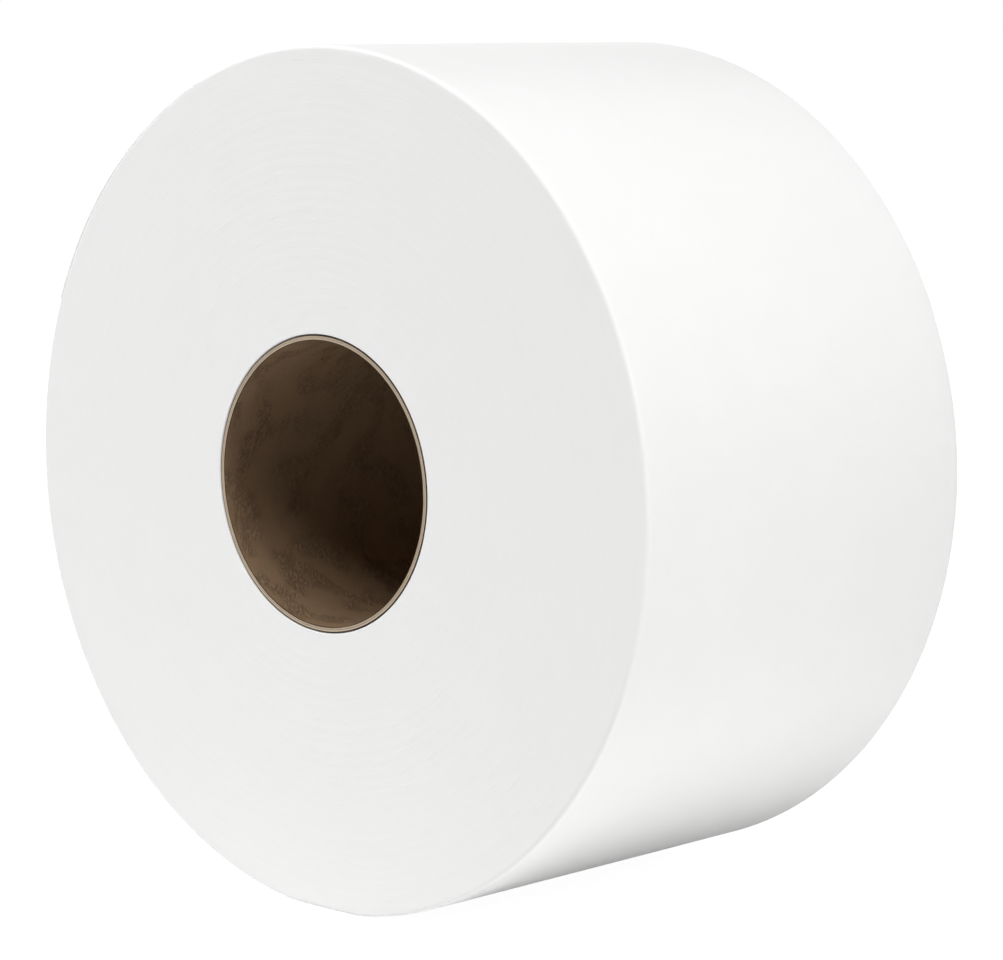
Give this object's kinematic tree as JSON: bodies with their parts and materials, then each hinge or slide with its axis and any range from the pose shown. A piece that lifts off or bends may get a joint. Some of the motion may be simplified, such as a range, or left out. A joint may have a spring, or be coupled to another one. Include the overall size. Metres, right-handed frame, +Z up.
{
  "type": "jumbo toilet paper roll",
  "caption": "Wide jumbo roll of white toilet tissue wound on a cardboard core tube, lying on its curved side, for slipping over a dispenser spindle.",
  "frame": {"origin": "on the floor under the middle of the roll, at the centre of the small flat that the roll rests on", "axes": "+Z up, +Y along the roll's axis from the front end to the back end, +X to the right as seen from the front end"},
  "size_m": [0.182, 0.099, 0.1819],
  "materials": {
    "tissue": "matt, finely creped tissue",
    "cardboard": "matt grey-brown core board"
  },
  "bodies": {
    "root": {"paper_roll": "tissue", "core_tube": "cardboard"}
  },
  "joints": []
}
